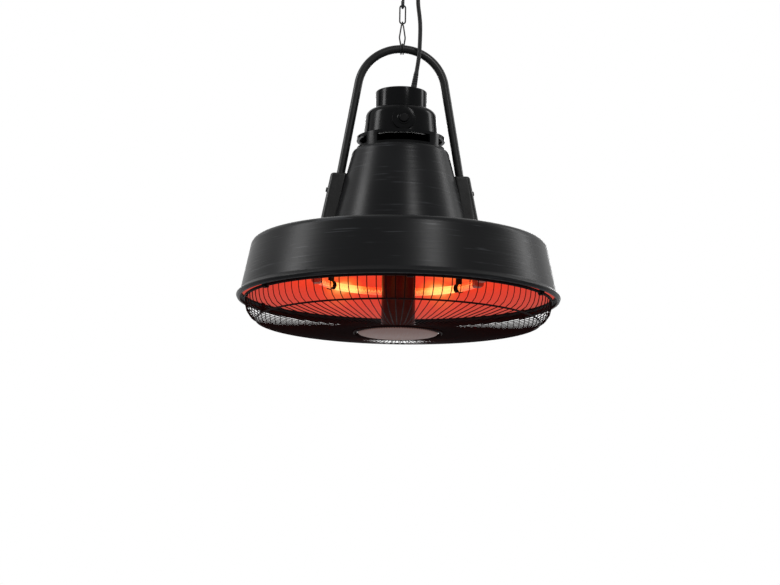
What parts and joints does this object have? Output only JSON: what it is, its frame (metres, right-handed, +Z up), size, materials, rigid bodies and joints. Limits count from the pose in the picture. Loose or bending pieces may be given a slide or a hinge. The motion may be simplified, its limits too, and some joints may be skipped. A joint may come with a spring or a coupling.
{
  "type": "hanging electric patio heater",
  "caption": "Hanging electric patio heater: round metal shade with ring lamps, wire guard, neck cone, tube bail, wire connector, chain link, long hook, screw eye and coiled cord with plug.",
  "frame": {"origin": "on the ceiling's face, at the root of the screw eye's thread, on the heater's axis", "axes": "+Z up along the screw eye's thread; -Y is the side with the push button; the bail lies in the XZ plane"},
  "size_m": [0.4598, 0.4598, 0.6882],
  "materials": {
    "black_steel": "black coated steel",
    "satin_black_paint": "satin black powder coat",
    "charcoal_paint": "satin charcoal lacquer with fine horizontal brushing",
    "gloss_black": "glossy black",
    "bright_reflector": "bright spun aluminium",
    "satin_plate": "satin",
    "plain_steel": "plain sheet steel",
    "guard_steel": "black coated wire",
    "lamp_quartz": "clear quartz tube with a warm tint",
    "filament": "glowing element",
    "ceramic": "unglazed ceramic",
    "button_plastic": "moulded black",
    "board": "green circuit board",
    "cord_rubber": "black rubber jacket",
    "pin_metal": "bare brass"
  },
  "bodies": {
    "ceiling_eye": {"ceiling_eye": "black_steel"},
    "hanger_hook": {"hanger_hook": "black_steel", "cord_tie": "cord_rubber", "cord_coil": "cord_rubber", "cord_upper": "cord_rubber", "plug_body": "cord_rubber", "plug_pins": "pin_metal"},
    "chain_link": {"chain_link": "black_steel"},
    "bail_connector": {"bail_connector": "black_steel", "cord_middle": "cord_rubber"},
    "heater": {"hanging_bail": "satin_black_paint", "socket_left": "satin_black_paint", "socket_right": "satin_black_paint", "socket_screws": "black_steel", "neck_cone": "charcoal_paint", "shade": "charcoal_paint", "reflector": "bright_reflector", "heat_shield": "plain_steel", "centre_column": "bright_reflector", "centre_plate": "satin_plate", "plate_ring": "guard_steel", "column_bolt": "plain_steel", "lamp_front": "lamp_quartz", "lamp_rear": "lamp_quartz", "filament_front": "filament", "filament_rear": "filament", "lamp_end_caps": "ceramic", "lamp_holders": "plain_steel", "guard_wires": "guard_steel", "guard_ring": "guard_steel", "guard_rim": "guard_steel", "guard_clips": "black_steel", "vent_collar": "gloss_black", "dome": "gloss_black", "button_bezel": "gloss_black", "switch_body": "button_plastic", "top_cap": "gloss_black", "cap_screws": "black_steel", "terminal_block": "ceramic", "control_board": "board", "relays": "button_plastic", "thermal_cutout": "plain_steel", "inner_bracket": "plain_steel", "strain_relief": "cord_rubber", "cord_lower": "cord_rubber"},
    "power_button": {"power_button": "button_plastic"}
  },
  "joints": [
    {"name": "hook_in_eye", "type": "hinge", "parent": "ceiling_eye", "child": "hanger_hook", "pos_m": [0, 0, -0.0225], "axis": [1, 0, 0], "range_deg": [-30, 30]},
    {"name": "link_on_hook", "type": "hinge", "parent": "hanger_hook", "child": "chain_link", "pos_m": [0, 0, -0.1805], "axis": [0, 1, 0], "range_deg": [-25, 25], "deforming": ["cord_upper"]},
    {"name": "connector_in_link", "type": "hinge", "parent": "chain_link", "child": "bail_connector", "pos_m": [0, 0, -0.2049], "axis": [1, 0, 0], "range_deg": [-25, 25], "deforming": ["cord_middle"]},
    {"name": "bail_in_connector", "type": "hinge", "parent": "bail_connector", "child": "heater", "pos_m": [0, 0, -0.2428], "axis": [1, 0, 0], "range_deg": [-30, 30], "deforming": ["cord_lower"]},
    {"name": "power_button_press", "type": "slide", "parent": "heater", "child": "power_button", "axis": [0, 1, 0], "range_m": [0, 0.002], "stiffness_N_per_m": 400}
  ]
}
